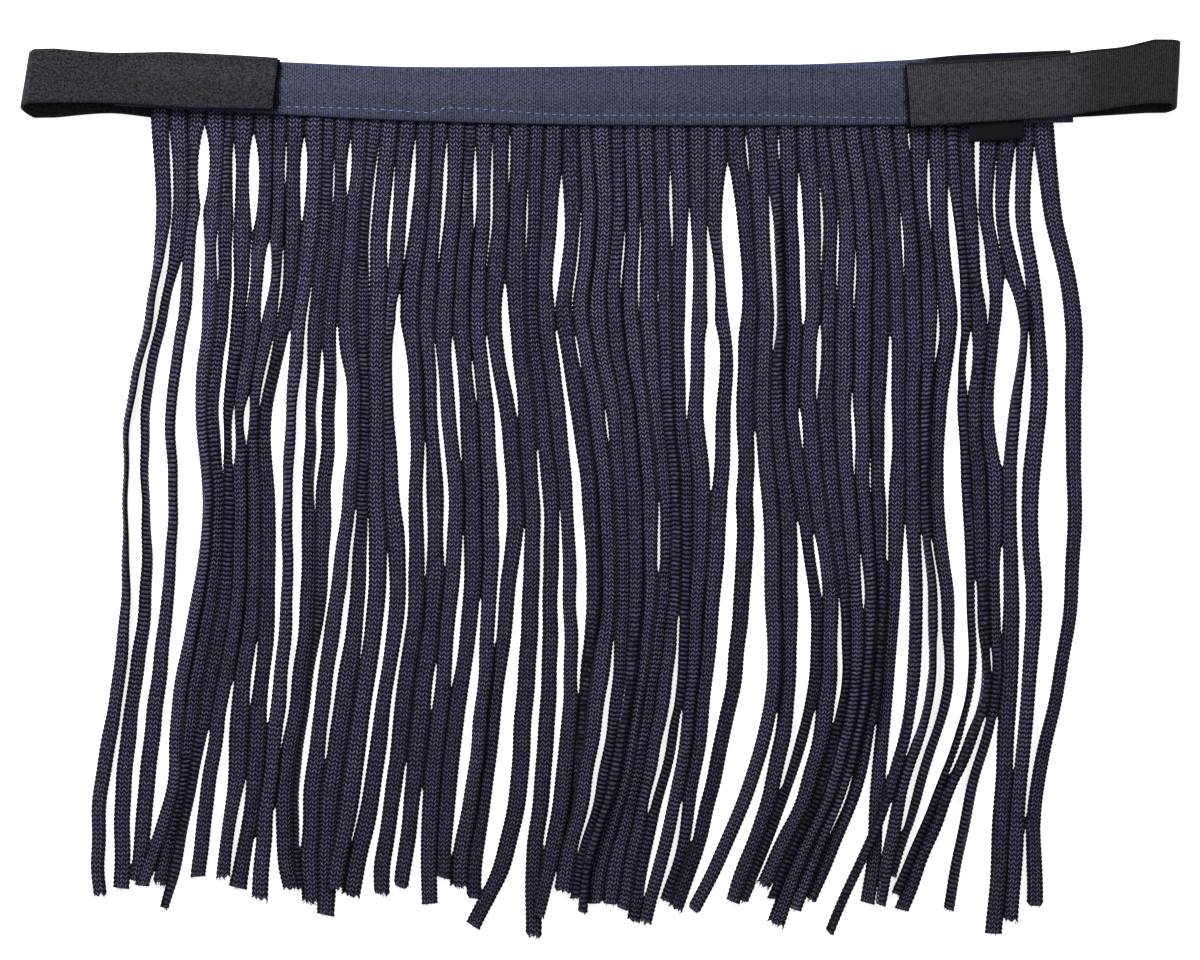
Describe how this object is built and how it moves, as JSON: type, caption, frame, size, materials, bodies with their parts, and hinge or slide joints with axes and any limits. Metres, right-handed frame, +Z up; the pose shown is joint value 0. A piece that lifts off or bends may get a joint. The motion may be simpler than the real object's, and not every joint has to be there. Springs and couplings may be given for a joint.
{
  "type": "fly fringe trim",
  "caption": "Fly fringe for a bridle's browband: a woven band with knitted strands hanging along one edge and a folded elastic loop with a hook pad at each end, lying flat.",
  "frame": {"origin": "on the surface that the part lies on, under the middle of its outline", "axes": "+X along the band, +Y from the strands' tips towards the band, +Z up and away from the surface"},
  "size_m": [0.486, 0.3762, 0.0089],
  "materials": {
    "navy_tape": "woven navy tape, matt",
    "navy_knit": "tubular knit of dark navy cotton yarn, matt",
    "black_elastic": "brushed or ribbed woven elastic, charcoal black",
    "hook_pad": "short stiff hooks on black tape",
    "label_cloth": "smooth black satin weave, bare"
  },
  "bodies": {
    "root": {"band_back": "navy_tape", "band_front": "navy_tape", "fringe": "navy_knit", "elastic_left": "black_elastic", "elastic_right": "black_elastic", "hook_left": "hook_pad", "hook_right": "hook_pad", "label": "label_cloth"}
  },
  "joints": []
}
